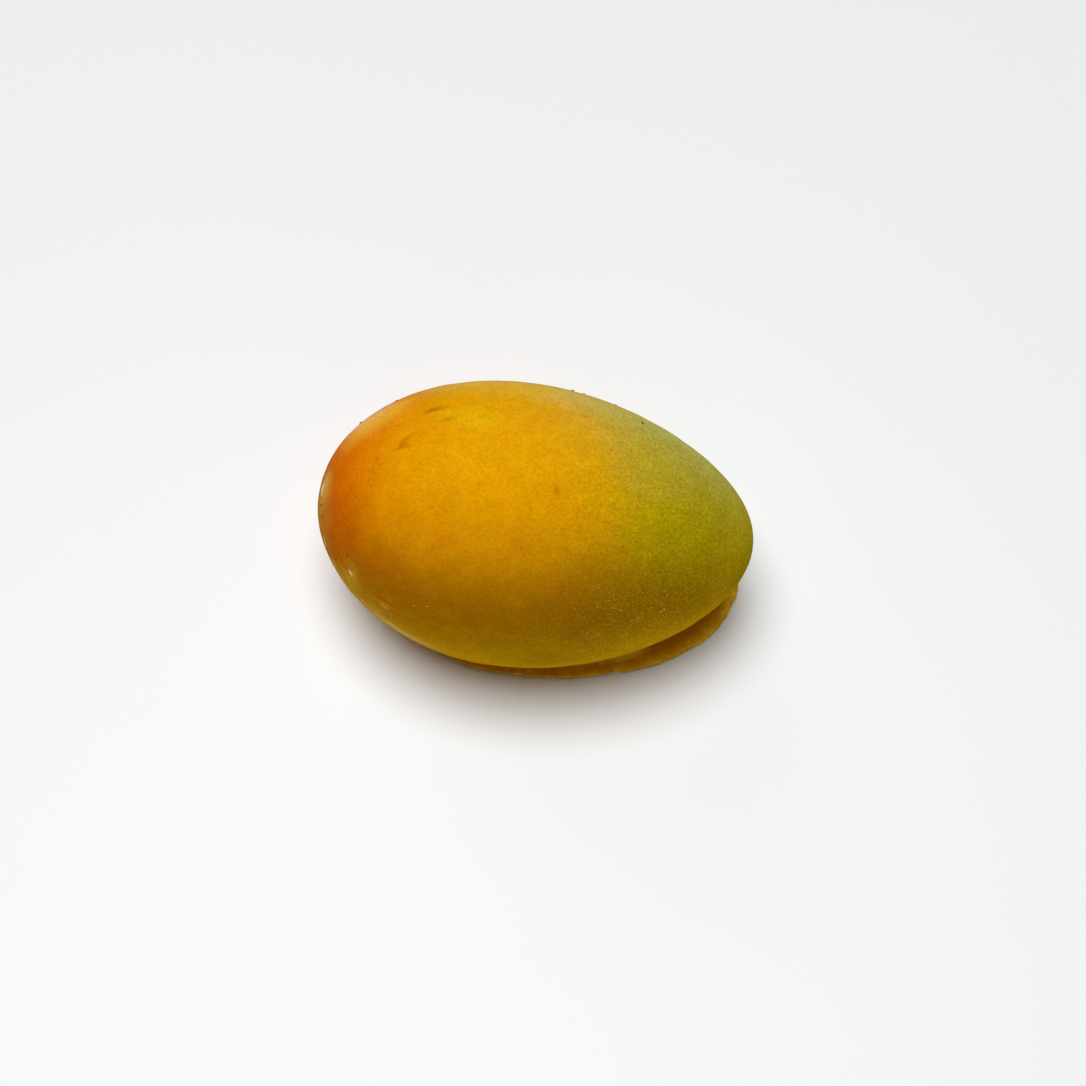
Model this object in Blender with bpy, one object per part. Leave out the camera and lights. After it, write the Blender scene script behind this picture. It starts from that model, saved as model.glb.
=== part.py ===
"""A mango-shaped moulded dessert: an egg-shaped body standing on a thin foot of set coating.

The long axis is X. The blunt, red end points to -X and the narrow, green end to +X.
The front, where the foot shows most, faces -Y. The foot stands on z = 0, and the origin is
the middle of the object's outline, on the surface that it stands on. Units are metres.
"""
import math

import bmesh
import bpy
import numpy as np

MM = 0.001

# Driving dimensions of the body
LENGTH = 98.9 * MM          # tip to tip
WIDTH = 64.2 * MM           # full width of an even egg, before its egg shape is applied
TOP = 51.8 * MM             # highest point of an even egg
WAIST = 27.0 * MM           # height of the widest line round the body
HULL = -11.7 * MM           # where the lower half would end if it weren't cut flat
BASE = 1.6 * MM             # height of the flat base
BASE_ROUND = 0.8 * MM       # how far above and below the base its edge is rounded
FULLNESS = 2.1              # power of the lower half's section: 2 is an ellipse, more is squarer
WAIST_BLEND = 0.35          # share of each half over which it turns into the other
EGG = 0.1206                # moves the greatest width towards the blunt end
EGG_HIGH = 0.084            # moves the greatest height there, but less
POINTED = -0.0238           # slims both ends a little
BOW = -0.4 * MM             # the middle line bends this far to the front
CENTRE = -BOW               # brings the widest place back to y = 0

# Driving dimensions of the foot
FOOT_MIDDLE = 4.8 * MM      # the foot's centre lies towards the narrow end
FOOT_LENGTH = 87.1 * MM
FOOT_WIDTH = 56.0 * MM
FOOT_EGG = 0.101
GAP = 0.3 * MM              # clearance between the body's base and the foot
FOOT_THICK = BASE - GAP
RIM_WAVES = ((5, 0.25 * MM), (13, 0.18 * MM), (23, 0.13 * MM), (37, 0.1 * MM))
NOTCH_PLACE, NOTCH_WIDTH, NOTCH_DEPTH = 22.5 * MM, 1.6 * MM, 0.5 * MM
SEED = 11                   # draws the phases of the rim's waves

# The run of coating that joins the foot to the body at the front
RUN_START, RUN_END = 13.0 * MM, 27.0 * MM    # its two ends along X
RUN_FADE = 3.5 * MM
RUN_HEIGHT = 4.0 * MM
RUN_TOE = 2.3 * MM          # distance from the rim to the toe of the run
RUN_DEPTH = 2.0 * MM        # distance from the toe to where the run is full
RUN_HOLLOW = 1.6            # power of its slope: more makes it more hollow
RUN_BACK = 8.5 * MM         # distance from the rim to where the run ends beneath the body
RUN_GAP = 0.5 * MM          # clearance to the body's steep flank, measured upright

# Rings and stations
BODY_STATIONS = 64
BODY_ROUND = 48
FOOT_ROUND = 128


def clear_scene():
    """Removes every object of the opened file."""
    for thing in list(bpy.data.objects):
        bpy.data.objects.remove(thing, do_unlink=True)


def smooth_step(value, low, high):
    """Runs from 0 at low to 1 at high with level ends."""
    t = np.clip((value - low) / (high - low), 0.0, 1.0)
    return t * t * (3.0 - 2.0 * t)


def cut_flat(height):
    """Cuts heights flat at BASE, with the corner rounded by a piece of parabola."""
    over = height - BASE
    rounded = (over + BASE_ROUND) ** 2 / (4.0 * BASE_ROUND)
    over = np.where(over > BASE_ROUND, over, np.where(over < -BASE_ROUND, 0.0, rounded))
    return BASE + over


def half_sizes(turn):
    """Half width and half height, as shares of an even egg's, where the long axis is at turn.

    The share is sin(turn) times e^(EGG cos(turn) + POINTED (1 + cos(2 turn))), and for the
    height EGG_HIGH takes the place of EGG.
    """
    ends = np.maximum(np.sin(turn), 0.0)
    slim = POINTED * (1.0 + np.cos(2.0 * turn))
    wide = ends * np.exp(EGG * np.cos(turn) + slim)
    high = ends * np.exp(EGG_HIGH * np.cos(turn) + slim)
    return wide, high


def middle_line(turn):
    """Y of the body's middle line at turn."""
    return CENTRE + BOW * np.sin(turn) ** 2


def body_ring(turn, around):
    """Points of the body's section at turn: half an ellipse above, a deeper hull below."""
    wide, high = half_sizes(turn)
    below = 1.0 - smooth_step(np.sin(around), -WAIST_BLEND, WAIST_BLEND)
    power = 1.0 + (2.0 / FULLNESS - 1.0) * below
    reach = (TOP - WAIST) + (2.0 * WAIST - HULL - TOP) * below
    across = np.sign(np.cos(around)) * np.abs(np.cos(around)) ** power
    upward = np.sign(np.sin(around)) * np.abs(np.sin(around)) ** power
    x = np.full_like(around, -0.5 * LENGTH * math.cos(turn))
    y = middle_line(turn) + 0.5 * WIDTH * wide * across
    z = cut_flat(WAIST + reach * high * upward)
    return np.stack([x, y, z], axis=-1)


def body_underside(x, y):
    """Height of the body's underside at (x, y), true in the lower two thirds of the hull."""
    turn = np.arccos(np.clip(-x / (0.5 * LENGTH), -1.0, 1.0))
    wide, high = half_sizes(turn)
    out = np.abs(y - middle_line(turn)) / np.maximum(0.5 * WIDTH * wide, 1e-6)
    drop = (1.0 - np.minimum(out, 1.0) ** FULLNESS) ** (1.0 / FULLNESS)
    return cut_flat(WAIST - (WAIST - HULL) * high * drop)


def rim_points(around, rough):
    """The foot's rim in plan: the body's kind of egg, with a ragged edge and one notch."""
    x = FOOT_MIDDLE - 0.5 * FOOT_LENGTH * np.cos(around)
    y = -0.5 * FOOT_WIDTH * np.sin(around) * np.exp(FOOT_EGG * np.cos(around))
    ragged = np.zeros_like(around)
    for lobes, depth in RIM_WAVES:
        ragged += depth * np.cos(lobes * around + rough.uniform(0.0, 2.0 * math.pi))
    notch = np.exp(-((x - NOTCH_PLACE) / NOTCH_WIDTH) ** 2) * (y < 0.0)
    ragged -= NOTCH_DEPTH * notch
    reach = np.hypot(x - FOOT_MIDDLE, y)
    return FOOT_MIDDLE + (x - FOOT_MIDDLE) * (1.0 + ragged / reach), y * (1.0 + ragged / reach)


def run_height(x, y, inward):
    """How far the run of coating stands above the foot's top, inward metres from the rim.

    It is a wedge that fills the groove under the body: it climbs from its toe as the distance
    inwards to the power RUN_HOLLOW, until it meets the body's underside, which it then follows.
    """
    window = smooth_step(x, RUN_START - RUN_FADE, RUN_START + RUN_FADE)
    window = window * smooth_step(-x, -RUN_END - RUN_FADE, -RUN_END + RUN_FADE) * (y < 0.0)
    climb = np.clip((inward - RUN_TOE) / RUN_DEPTH, 0.0, 1.5)
    room = np.maximum(body_underside(x, y) - RUN_GAP - FOOT_THICK, 0.0)
    back = 1.0 - smooth_step(inward, RUN_BACK - RUN_DEPTH, RUN_BACK + RUN_DEPTH)
    return back * np.minimum(window * RUN_HEIGHT * climb ** RUN_HOLLOW, room)


def foot_rings():
    """Rings of the foot from the middle of its underside, round the rim, to the middle of its top.

    Each ring is the rim moved inwards by a distance, or shrunk to a share of the rim.
    """
    around = np.linspace(0.0, 2.0 * math.pi, FOOT_ROUND, endpoint=False)
    rim_x, rim_y = rim_points(around, np.random.default_rng(SEED))
    reach = np.hypot(rim_x - FOOT_MIDDLE, rim_y)

    def ring(inward, share, height, top):
        scale = share * (1.0 - inward / reach)
        x = FOOT_MIDDLE + (rim_x - FOOT_MIDDLE) * scale
        y = rim_y * scale
        z = np.full_like(x, height)
        if top:
            z = z + run_height(x, y, reach * (1.0 - scale))
        return np.stack([x, y, z], axis=-1)

    underside = [(2.0 * MM, 0.3), (2.0 * MM, 0.65), (2.0 * MM, 1.0), (1.2 * MM, 1.0)]
    rings = [ring(inward, share, 0.0, False) for inward, share in underside]
    edge = [(0.6, 0.12), (0.2, 0.38), (0.0, 0.72), (0.12, 1.02), (0.45, 1.24)]
    rings += [ring(inward * MM, 1.0, height * MM, False) for inward, height in edge]
    lip = [1.0, 2.3, 2.9, 3.4, 3.9, 4.6, 5.5, 6.6, 8.0, 10.0]
    rings += [ring(inward * MM, 1.0, FOOT_THICK, True) for inward in lip]
    rings += [ring(10.0 * MM, share, FOOT_THICK, True) for share in (0.7, 0.35)]
    return rings


def closed_skin(name, rings, first_pole, last_pole):
    """A closed mesh object: quads between neighbouring rings and a fan of triangles at each pole."""
    shape = bmesh.new()
    rows = [[shape.verts.new(point) for point in ring] for ring in rings]
    for near, far in zip(rows, rows[1:]):
        for i in range(len(near)):
            j = (i + 1) % len(near)
            shape.faces.new((near[i], near[j], far[j], far[i]))
    for pole, row in ((first_pole, rows[0]), (last_pole, rows[-1])):
        tip = shape.verts.new(pole)
        for i in range(len(row)):
            shape.faces.new((tip, row[i], row[(i + 1) % len(row)]))
    bmesh.ops.triangulate(shape, faces=shape.faces[:])
    bmesh.ops.recalc_face_normals(shape, faces=shape.faces[:])
    mesh = bpy.data.meshes.new(name)
    shape.to_mesh(mesh)
    shape.free()
    mesh.shade_smooth()
    thing = bpy.data.objects.new(name, mesh)
    bpy.context.scene.collection.objects.link(thing)
    return thing


def finish_with(thing, name, colour, roughness):
    """Gives an object its own material."""
    material = bpy.data.materials.new(name)
    material.use_nodes = True
    shader = material.node_tree.nodes["Principled BSDF"]
    shader.inputs["Base Color"].default_value = (*colour, 1.0)
    shader.inputs["Roughness"].default_value = roughness
    shader.inputs["Metallic"].default_value = 0.0
    thing.data.materials.append(material)


def make_body():
    """The moulded body, one egg from the blunt end to the narrow end."""
    turns = np.linspace(0.0, math.pi, BODY_STATIONS + 1)[1:-1]
    around = np.linspace(0.0, 2.0 * math.pi, BODY_ROUND, endpoint=False)
    rings = [body_ring(turn, around) for turn in turns]
    blunt_end = (-0.5 * LENGTH, CENTRE, WAIST)
    narrow_end = (0.5 * LENGTH, CENTRE, WAIST)
    body = closed_skin("mango_body", rings, blunt_end, narrow_end)
    finish_with(body, "sprayed_coating", (0.74, 0.31, 0.01), 0.55)


def make_foot():
    """The thin foot of coating that set round the base, with the run that joins it to the body."""
    bottom = (FOOT_MIDDLE, 0.0, 0.0)
    top = (FOOT_MIDDLE, 0.0, FOOT_THICK)
    foot = closed_skin("coating_foot", foot_rings(), bottom, top)
    finish_with(foot, "set_coating", (0.42, 0.22, 0.01), 0.45)


clear_scene()
make_body()
make_foot()
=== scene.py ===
# %% [markdown]
# A mango-shaped moulded dessert
#
# The real thing is set in an egg-shaped mould, turned out, and sprayed with coloured cocoa
# butter, which gives it a fine velvet skin. This lesson dresses the plain solids of the packed
# model with that skin, with the thin foot of coating that ran down and set, and with the
# small droplets and scuffs that handling leaves. The first step loads the imported model,
# which fixes every size and place, and keeps its box, inside which the skins are held.

# %% Load the imported model
import math

import bpy
import numpy as np
from mathutils import Matrix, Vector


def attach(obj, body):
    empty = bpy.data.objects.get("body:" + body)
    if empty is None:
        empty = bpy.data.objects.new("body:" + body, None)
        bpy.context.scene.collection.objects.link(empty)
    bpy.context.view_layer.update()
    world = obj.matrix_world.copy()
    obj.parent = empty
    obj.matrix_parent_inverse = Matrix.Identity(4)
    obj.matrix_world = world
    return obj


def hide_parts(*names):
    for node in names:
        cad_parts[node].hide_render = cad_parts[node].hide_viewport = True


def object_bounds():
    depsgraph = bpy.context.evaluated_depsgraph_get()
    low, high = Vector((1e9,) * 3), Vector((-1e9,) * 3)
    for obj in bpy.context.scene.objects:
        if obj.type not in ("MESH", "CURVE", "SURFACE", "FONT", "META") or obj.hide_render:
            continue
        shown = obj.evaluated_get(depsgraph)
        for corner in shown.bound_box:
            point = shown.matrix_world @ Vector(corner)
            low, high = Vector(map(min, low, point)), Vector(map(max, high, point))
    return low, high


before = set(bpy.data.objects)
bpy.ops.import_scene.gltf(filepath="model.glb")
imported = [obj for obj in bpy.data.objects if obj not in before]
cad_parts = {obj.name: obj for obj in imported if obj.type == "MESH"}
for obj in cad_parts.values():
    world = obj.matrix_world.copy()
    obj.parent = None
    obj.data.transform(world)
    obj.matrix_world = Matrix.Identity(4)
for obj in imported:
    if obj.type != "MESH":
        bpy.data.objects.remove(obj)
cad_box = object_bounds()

MM = 0.001
print("nodes:", sorted(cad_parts))

# %% [markdown]
# The camera
#
# The photograph looks down steeply at the front of the dessert. A camera is a place, an aim
# and a lens, so its three axes are worked out from an elevation and an azimuth, and the same
# three axes tell where a point of the object falls in the picture. That is used below to put
# each mark of the skin where it is seen.

# %% Camera at the photograph's viewing angle
PHOTO_SIZE = 1086.0
LENS, SENSOR = 70.0, 36.0
ELEVATION, AZIMUTH = math.radians(67.8), math.radians(7.61)
AIM = np.array([1.04, 6.02, 0.0]) * MM
DISTANCE = 504.66 * MM

backward = np.array([math.sin(AZIMUTH) * math.cos(ELEVATION),
                     -math.cos(AZIMUTH) * math.cos(ELEVATION),
                     math.sin(ELEVATION)])
rightward = np.array([math.cos(AZIMUTH), math.sin(AZIMUTH), 0.0])
upward = np.cross(backward, rightward)
eye = AIM + DISTANCE * backward

camera_data = bpy.data.cameras.new("studio_camera")
camera_data.lens = LENS
camera_data.sensor_width = SENSOR
camera_data.clip_start = 0.01
camera = bpy.data.objects.new("studio_camera", camera_data)
camera.matrix_world = Matrix(
    [[*row, place] for row, place in zip(np.stack([rightward, upward, backward], 1), eye)]
    + [[0.0, 0.0, 0.0, 1.0]])
bpy.context.scene.collection.objects.link(camera)
bpy.context.scene.camera = camera
print("camera at", [round(float(v), 3) for v in eye])


def photo_place(points):
    """Pixels of the photograph where points are seen: sideways and upward distance over depth."""
    away = points - eye
    depth = -(away @ backward)
    scale = PHOTO_SIZE * LENS / SENSOR
    across = 0.5 * PHOTO_SIZE + scale * (away @ rightward) / depth
    down = 0.5 * PHOTO_SIZE - scale * (away @ upward) / depth
    return np.stack([across, down], -1)


# %% [markdown]
# The studio
#
# A plain pale floor under soft daylight. Sun lamps with very wide discs stand for softboxes. The
# large one overhead is tilted a little to the back, so that the top is bright and the front falls
# into soft shade. A low one behind to the left draws the upper edge, and a faint one in front
# lifts the foot out of the dark. The sky gives next to no light, which keeps the shadow close to
# the object as in the photograph. Only the camera sees it pale.

# %% Floor, lamps and sky
FLOOR_COLOUR = (0.855, 0.865, 0.87)
FLOOR_REACH = 30.0
FLOOR_ROUGHNESS, FLOOR_SPECULAR = 0.35, 0.3
LAMPS = (  # name, elevation, azimuth, strength and width of the disc
    ("overhead_light", 80.5, 321.0, 2.8, 40.0),
    ("back_light", 24.0, 326.0, 0.4, 50.0),
    ("front_light", 25.0, 165.0, 0.17, 50.0),
)
SKY_LIGHT, SKY_SEEN = (0.02, 0.026, 0.035), (0.92, 0.92, 0.92)
AMOUNT, BELOW, ABOVE, RESULT = 0, 6, 7, 2    # sockets of a Mix node for colours


def add_sun(name, elevation, azimuth, strength, disc):
    """Adds a sun lamp at an elevation, and at an azimuth that turns from +Y to +X."""
    lamp = bpy.data.lights.new(name, "SUN")
    lamp.energy = strength
    lamp.angle = math.radians(disc)
    thing = bpy.data.objects.new(name, lamp)
    thing.rotation_euler = (math.radians(elevation - 90.0), 0.0, math.radians(-azimuth))
    bpy.context.scene.collection.objects.link(thing)


floor_data = bpy.data.meshes.new("floor")
floor_data.from_pydata([(-FLOOR_REACH, -FLOOR_REACH, 0), (FLOOR_REACH, -FLOOR_REACH, 0),
                        (FLOOR_REACH, FLOOR_REACH, 0), (-FLOOR_REACH, FLOOR_REACH, 0)],
                       [], [(0, 1, 2, 3)])
floor = bpy.data.objects.new("floor", floor_data)
bpy.context.scene.collection.objects.link(floor)
floor_finish = bpy.data.materials.new("pale_floor")
floor_finish.use_nodes = True
floor_shader = floor_finish.node_tree.nodes["Principled BSDF"]
floor_shader.inputs["Base Color"].default_value = (*FLOOR_COLOUR, 1.0)
floor_shader.inputs["Roughness"].default_value = FLOOR_ROUGHNESS
floor_shader.inputs["Specular IOR Level"].default_value = FLOOR_SPECULAR
floor_data.materials.append(floor_finish)

for lamp in LAMPS:
    add_sun(*lamp)
sky = bpy.data.worlds.new("sky")
sky.use_nodes = True
sky_tree = sky.node_tree
light_path = sky_tree.nodes.new("ShaderNodeLightPath")
sky_colour = sky_tree.nodes.new("ShaderNodeMix")
sky_colour.data_type = "RGBA"
sky_colour.inputs[BELOW].default_value = (*SKY_LIGHT, 1.0)
sky_colour.inputs[ABOVE].default_value = (*SKY_SEEN, 1.0)
sky_tree.links.new(light_path.outputs["Is Camera Ray"], sky_colour.inputs[AMOUNT])
sky_tree.links.new(sky_colour.outputs[RESULT], sky_tree.nodes["Background"].inputs["Color"])
bpy.context.scene.world = sky
bpy.context.scene.view_settings.view_transform = "Standard"
print("floor,", len(LAMPS), "soft lights and a sky")

# %% [markdown]
# The moulded body
#
# The body is an egg cut flat underneath. Every section across it is an ellipse above and a
# fuller curve below, and its width and height swell and shrink from the blunt end to the narrow
# end. Such a shape is a function of two numbers: how far along the egg a point lies (turn), and
# how far round (around). On a grid of both, numpy works out all points at once. The formulas
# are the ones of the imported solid, so the skin lies where the solid is.

# %% The egg as a function of turn and around
LENGTH = 98.9 * MM
WIDTH = 64.2 * MM
TOP = 51.8 * MM
WAIST = 27.0 * MM
HULL = -11.7 * MM
BASE = 1.6 * MM
BASE_ROUND = 0.8 * MM
FULLNESS = 2.1
WAIST_BLEND = 0.35
EGG = 0.1206
EGG_HIGH = 0.084
POINTED = -0.0238
BOW = -0.4 * MM
CENTRE = -BOW


def smooth_step(value, low, high):
    """Runs from 0 at low to 1 at high with level ends: t squared times (3 minus 2 t)."""
    t = np.clip((value - low) / (high - low), 0.0, 1.0)
    return t * t * (3.0 - 2.0 * t)


def cut_flat(height):
    """Cuts heights flat at BASE and rounds the corner with a piece of parabola."""
    over = height - BASE
    rounded = (over + BASE_ROUND) ** 2 / (4.0 * BASE_ROUND)
    return BASE + np.where(over > BASE_ROUND, over, np.where(over < -BASE_ROUND, 0.0, rounded))


def half_sizes(turn):
    """Half width and half height as shares: sin(turn) times e^(EGG cos(turn)), ends slimmed."""
    ends = np.maximum(np.sin(turn), 0.0)
    slim = POINTED * (1.0 + np.cos(2.0 * turn))
    wide = ends * np.exp(EGG * np.cos(turn) + slim)
    high = ends * np.exp(EGG_HIGH * np.cos(turn) + slim)
    return wide, high


def middle_line(turn):
    """Y of the middle line, which bends a little to the front."""
    return CENTRE + BOW * np.sin(turn) ** 2


def egg_point(turn, around):
    """Half an ellipse above the waist and a fuller curve below it, cut flat at the base."""
    wide, high = half_sizes(turn)
    below = 1.0 - smooth_step(np.sin(around), -WAIST_BLEND, WAIST_BLEND)
    power = 1.0 + (2.0 / FULLNESS - 1.0) * below
    reach = (TOP - WAIST) + (2.0 * WAIST - HULL - TOP) * below
    out = np.sign(np.cos(around)) * np.abs(np.cos(around)) ** power
    up = np.sign(np.sin(around)) * np.abs(np.sin(around)) ** power
    x = -0.5 * LENGTH * np.cos(turn) + 0.0 * around
    y = middle_line(turn) + 0.5 * WIDTH * wide * out
    z = cut_flat(WAIST + reach * high * up)
    return np.stack([x, y, z], -1)


def underside(x, y):
    """Height of the body's underside over (x, y)."""
    turn = np.arccos(np.clip(-x / (0.5 * LENGTH), -1.0, 1.0))
    wide, high = half_sizes(turn)
    out = np.minimum(np.abs(y - middle_line(turn)) / np.maximum(0.5 * WIDTH * wide, 1e-6), 1.0)
    return cut_flat(WAIST - (WAIST - HULL) * high * (1.0 - out ** FULLNESS) ** (1.0 / FULLNESS))


# %% [markdown]
# The grid of the body
#
# A mesh needs its small faces where the eye rests. The steps round the body follow a density:
# close together over the top and the front, and wide underneath. Adding up the density and
# reading the sum backwards gives the places of the steps. The two ends are single points, the
# poles, which close the skin.

# %% Grid points and their outward directions
TURN_STEPS = 346
ROUND_STEPS = 280
UNDER_DENSITY = 0.42        # of the steps underneath, where 1 is added above
DENSE_TILT = 0.25           # turns the dense part towards the front
DENSE_FROM, DENSE_TO = -0.75, -0.2

turns = np.linspace(0.0, math.pi, TURN_STEPS + 2)[1:-1, None]
fine = np.linspace(-0.5 * math.pi, 1.5 * math.pi, 4001)
density = UNDER_DENSITY + smooth_step(np.sin(fine - DENSE_TILT), DENSE_FROM, DENSE_TO)
total = np.concatenate([[0.0], np.cumsum(0.5 * (density[1:] + density[:-1]))])
arounds = np.interp(np.arange(ROUND_STEPS) / ROUND_STEPS, total / total[-1], fine)[None, :]


def outward(turn, around):
    """Unit normals of the egg: the cross product of the slopes along both parameters."""
    step = 1e-4
    along = egg_point(turn + step, around) - egg_point(turn - step, around)
    across = egg_point(turn, around + step) - egg_point(turn, around - step)
    normal = np.cross(along, across)
    normal *= np.sign(np.sum(normal * (egg_point(turn, around) - [0.0, 0.0, WAIST]), -1,
                             keepdims=True))
    return normal / np.linalg.norm(normal, axis=-1, keepdims=True)


smooth_skin = egg_point(turns, arounds).reshape(-1, 3)
skin_out = outward(turns, arounds).reshape(-1, 3)
skin_place = photo_place(smooth_skin)
skin_hidden = np.sum(skin_out * (eye - smooth_skin), -1) < 0.0
print("body grid", TURN_STEPS, "x", ROUND_STEPS)

# %% [markdown]
# A mark on the skin
#
# Dents, bruises and chips are all soft spots on the surface. A spot is named by the pixel where
# the photograph shows it: the grid point seen there is its centre. Its length and width are
# real sizes, and it may be slanted and bent like a crescent. Marks of one kind stand in a table
# and are added up. Unevenness without a centre comes from waves instead.


# %% Helpers for marks
def seen_at(across, down):
    """Number of the grid point that is seen at a pixel: the nearest one that faces the camera."""
    far = np.sum((skin_place - [across, down]) ** 2, -1)
    return int(np.argmin(far + 1e9 * skin_hidden))


def mark(across, down, length, width, slant=0.0, bend=0.0, power=2.0):
    """A soft spot, e^(-r^power), r being the distance in half lengths and half widths.

    slant turns it in the picture, anticlockwise in degrees, and bend makes a crescent of it.
    """
    centre = seen_at(across, down)
    normal = skin_out[centre]
    side = rightward * math.cos(math.radians(slant)) + upward * math.sin(math.radians(slant))
    side = side - normal * (side @ normal)
    side /= np.linalg.norm(side)
    other = np.cross(normal, side)
    away = smooth_skin - smooth_skin[centre]
    a = (away @ side) / (0.5 * length * MM)
    b = (away @ other) / (0.5 * width * MM) + bend * a * a
    near = np.exp(-((away @ normal) / (0.5 * max(length, 3.0) * MM)) ** 2)
    return near * np.exp(-(a * a + b * b) ** (0.5 * power))


def waves(points, length, count, seed):
    """Smooth unevenness: the mean of many plane waves of about one length and any direction."""
    rng = np.random.default_rng(seed)
    direction = rng.normal(size=(count, 3))
    direction /= np.linalg.norm(direction, axis=1, keepdims=True)
    pace = 2.0 * math.pi / (length * MM * rng.uniform(0.7, 1.4, count))
    phase = rng.uniform(0.0, 2.0 * math.pi, count)
    return np.sin(points @ (direction * pace[:, None]).T + phase).sum(1) / math.sqrt(count)


def total(marks):
    """The sum of a table of marks: an amount and then what mark takes."""
    return sum(amount * mark(*place) for amount, *place in marks)


# %% [markdown]
# Relief of the skin
#
# The velvet skin isn't perfectly even: it swells and dips by a few hundredths of a millimetre,
# and it has a crescent dent where the mould was touched, a lump, and worn places at the blunt
# end. These heights move the grid points along their outward directions, so that the outline
# shows them too.

# %% Heights of the skin in millimetres
SWELLS = ((0.035, 9.0, 24, 3), (0.014, 3.2, 40, 4))    # height, length, count of waves, seed
DENTS_AND_LUMPS = (  # height, pixel across and down, length, width, slant, bend
    (-0.26, 438, 408, 6.0, 1.5, 14, 0.6),
    (0.16, 437, 413, 6.4, 1.8, 14, 0.5),
    (-0.08, 403, 443, 3.2, 1.2, 55),
    (0.2, 581, 412, 2.2, 1.3, 10),
    (-0.14, 584, 415, 2.0, 1.0, 10),
    (-0.26, 384, 602, 4.0, 1.0, -14),
    (0.24, 384, 606, 4.4, 1.0, -12),
    (-0.25, 323, 489, 5.4, 1.6, 76),
    (-0.12, 372, 420, 12.0, 5.0, 33),
    (-0.2, 350, 573, 2.4, 1.6, -50),
    (0.1, 556, 491, 2.6, 1.6, 80),
    (0.14, 342, 568, 6.0, 1.2, -62),
)
relief = sum(height * waves(smooth_skin, *kind) for height, *kind in SWELLS)
for height, *place in DENTS_AND_LUMPS:
    relief += height * mark(*place)
skin = smooth_skin + relief[:, None] * MM * skin_out
print("relief from %.2f to %.2f mm" % (relief.min(), relief.max()))

# %% [markdown]
# Bruises, scuffs and bare places
#
# Where the skin was touched, the colour is browner. Where it was rubbed, it is paler, with a
# little cream in places, and where a flake came off, the pale coat beneath shows with crisp
# edges, here and there smooth enough to shine. A pale line along the lower left edge, made of
# the same scuff and bare marks, is a painted highlight. Low at the front right the spray is
# peppered with fine droplets, whose pale specks are painted glints, and the green half is
# grittier than the gold. All are marks again, kept as attributes of the mesh that the material
# reads.

# %% Amount of bruise, scuff, cream, bare coat, painted rim highlight, shine, pepper and grit
BRUISES = (  # amount, pixel across and down, length, width, slant, bend
    (0.8, 438, 408, 6.0, 1.4, 10, 0.6), (0.8, 431, 410, 2.8, 1.2, 34),
    (0.7, 381, 410, 3.4, 1.8, 34), (0.7, 447, 420, 3.0, 1.2, 14),
    (0.8, 404, 441, 3.4, 1.2, 62), (0.8, 401, 446, 2.4, 1.0, 20),
    (0.6, 408, 446, 1.8, 1.0, -40), (0.35, 418, 434, 5.5, 1.8, 20),
    (0.6, 377, 459, 1.8, 1.1, -40), (0.35, 372, 470, 3.0, 2.0, -30),
    (0.6, 556, 491, 1.6, 3.4), (0.35, 520, 545, 8.0, 5.0),
    (0.35, 445, 540, 9.0, 6.0, -20), (0.5, 622, 552, 3.2, 1.6, -20),
    (0.3, 560, 590, 9.0, 4.0), (0.3, 352, 520, 4.0, 9.0, -10),
    (0.7, 584, 416, 2.4, 1.1, 10), (1.0, 384, 602, 4.4, 1.1, -14),
    (0.8, 344, 566, 8.0, 1.8, -62), (0.7, 334, 552, 7.0, 1.6, -70),
    (0.9, 324, 516, 8.0, 3.2, 85),
)
# The last scuff, long and along the lower left edge, is a painted highlight.
SCUFFS_AND_RIM_HIGHLIGHT = ((1.0, 374, 421, 19.0, 9.0, 33, 0.0, 3.0), (0.5, 398, 406, 10.0, 3.0, 20),
          (0.6, 326, 487, 7.0, 4.0, 75), (0.6, 398, 630, 26.0, 5.0, -31))
CREAMED = ((0.7, 366, 420, 13.0, 6.0, 38), (0.3, 388, 407, 6.0, 3.0, 24),
           (0.5, 323, 488, 6.0, 2.6, 76))
FLAKED = ((0.72, 322, 489, 5.6, 1.9, 76), (1.1, 350, 573, 1.5, 1.1, -50),
          (0.85, 385, 607, 4.6, 1.1, -10))
# Painted highlight: a pale line along the lower left edge, in the bare coat's colour.
RIM_HIGHLIGHT_MARKS = ((325, 541, 5.0, 1.6, -76), (334, 563, 4.5, 1.5, -64), (348, 586, 4.0, 1.5, -54),
              (363, 601, 4.0, 1.8, -44), (377, 614, 5.0, 2.8, -40), (390, 624, 5.0, 3.4, -34),
              (403, 632, 5.0, 3.4, -32), (416, 640, 5.0, 2.8, -29), (430, 646, 5.0, 1.8, -26))
RIM_HIGHLIGHT_AMOUNT = 0.72
SHINING = ((1.0, 350, 573, 2.0, 1.5, -50), (0.7, 323, 486, 4.0, 2.0, 76))
PEPPER_CENTRE, PEPPER_RADII = [26.0, -22.0, 24.0], [24.0, 16.0, 16.0]
GRIT_FROM, GRIT_TO = 0.0, 22.0 * MM    # along X

bruise, scuff_and_rim_highlight, cream, shine = total(BRUISES), total(SCUFFS_AND_RIM_HIGHLIGHT), total(CREAMED), total(SHINING)
bare_and_rim_highlight = total(FLAKED)
for place in RIM_HIGHLIGHT_MARKS:
    bare_and_rim_highlight += RIM_HIGHLIGHT_AMOUNT * mark(*place)
pepper = np.exp(-np.sum(((smooth_skin / MM - PEPPER_CENTRE) / PEPPER_RADII) ** 2, -1))
grit = np.maximum(smooth_step(smooth_skin[:, 0], GRIT_FROM, GRIT_TO), pepper)
skin_marks = {"bruise": bruise, "scuff_and_rim_highlight": scuff_and_rim_highlight, "cream": cream, "bare_and_rim_highlight": bare_and_rim_highlight, "shine": shine,
              "pepper": pepper, "grit": grit}
skin_marks = {key: np.clip(amount, 0.0, 1.0) for key, amount in skin_marks.items()}
print("marks:", ", ".join(skin_marks))

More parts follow.
